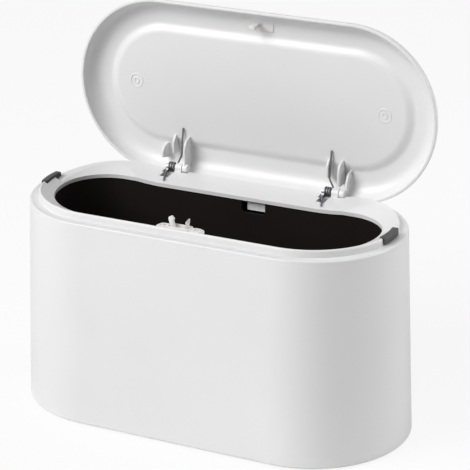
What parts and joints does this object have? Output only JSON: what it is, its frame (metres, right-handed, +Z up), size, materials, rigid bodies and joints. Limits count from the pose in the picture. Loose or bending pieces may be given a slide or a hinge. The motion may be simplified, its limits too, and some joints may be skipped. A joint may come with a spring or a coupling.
{
  "type": "desktop trash can",
  "caption": "Small stadium-shaped desktop bin with a sprung flip-up lid, a touch latch, a dished top frame and a lift-out inner liner, shown with its lid open.",
  "frame": {"origin": "under the middle of the bin's body, on the surface that the feet stand on", "axes": "+Z up, +Y to the rear where the lid is hinged, -Y to the front with the latch, X along the bin"},
  "size_m": [0.2278, 0.1125, 0.2195],
  "materials": {
    "white_shell": "smooth satin-gloss moulded plastic",
    "white_gloss": "glossy moulded plastic",
    "white_satin": "satin moulded plastic",
    "black_liner": "matt black moulded plastic",
    "grey_rubber": "matt dark grey rubber",
    "spring_steel": "drawn spring wire",
    "pin_steel": "bright steel pin",
    "screw_steel": "zinc plated steel"
  },
  "bodies": {
    "body": {"body_shell": "white_shell", "base_plate": "white_satin", "rubber_feet": "grey_rubber"},
    "frame": {"top_frame": "white_gloss", "end_bumper_left": "grey_rubber", "end_bumper_right": "grey_rubber", "hinge_pin_left": "pin_steel", "hinge_pin_right": "pin_steel", "torsion_spring_left": "spring_steel", "torsion_spring_right": "spring_steel", "latch_housing": "white_satin", "latch_end_cap": "white_satin", "latch_spring": "spring_steel", "latch_screws": "screw_steel"},
    "liner": {"inner_liner": "black_liner"},
    "lid": {"lid_cover": "white_gloss", "lid_striker": "white_satin"},
    "plunger": {"latch_plunger": "white_satin", "jaw_pin_left": "pin_steel", "jaw_pin_right": "pin_steel"},
    "jaw_left": {"latch_jaw_left": "white_satin"},
    "jaw_right": {"latch_jaw_right": "white_satin"}
  },
  "joints": [
    {"name": "frame_lift", "type": "slide", "parent": "body", "child": "frame", "axis": [0, 0, 1], "range_m": [0, 0.08]},
    {"name": "liner_lift", "type": "slide", "parent": "body", "child": "liner", "axis": [0, 0, 1], "range_m": [0, 0.04]},
    {"name": "lid_hinge", "type": "hinge", "parent": "frame", "child": "lid", "pos_m": [0, 0.04665, 0.12135], "axis": [1, 0, 0], "range_deg": [0, 90], "stiffness_Nm_per_rad": 0.02, "springref_deg": -34.38, "deforming": ["torsion_spring_left", "torsion_spring_right"]},
    {"name": "latch_push", "type": "slide", "parent": "frame", "child": "plunger", "axis": [0, 0, -1], "range_m": [0, 0.0032], "stiffness_N_per_m": 250, "springref_m": -0.002, "deforming": ["latch_spring"]},
    {"name": "jaw_left_close", "type": "hinge", "parent": "plunger", "child": "jaw_left", "pos_m": [-0.003, -0.042, 0.1211], "axis": [0, 1, 0], "range_deg": [0, 16]},
    {"name": "jaw_right_close", "type": "hinge", "parent": "plunger", "child": "jaw_right", "pos_m": [0.003, -0.042, 0.1211], "axis": [0, -1, 0], "range_deg": [0, 16]}
  ],
  "couplings": [
    {"joint": "liner_lift", "follows": "frame_lift", "ratio": 0.5},
    {"joint": "jaw_left_close", "follows": "latch_push", "rad_per_m": 87.266},
    {"joint": "jaw_right_close", "follows": "latch_push", "rad_per_m": 87.266}
  ]
}
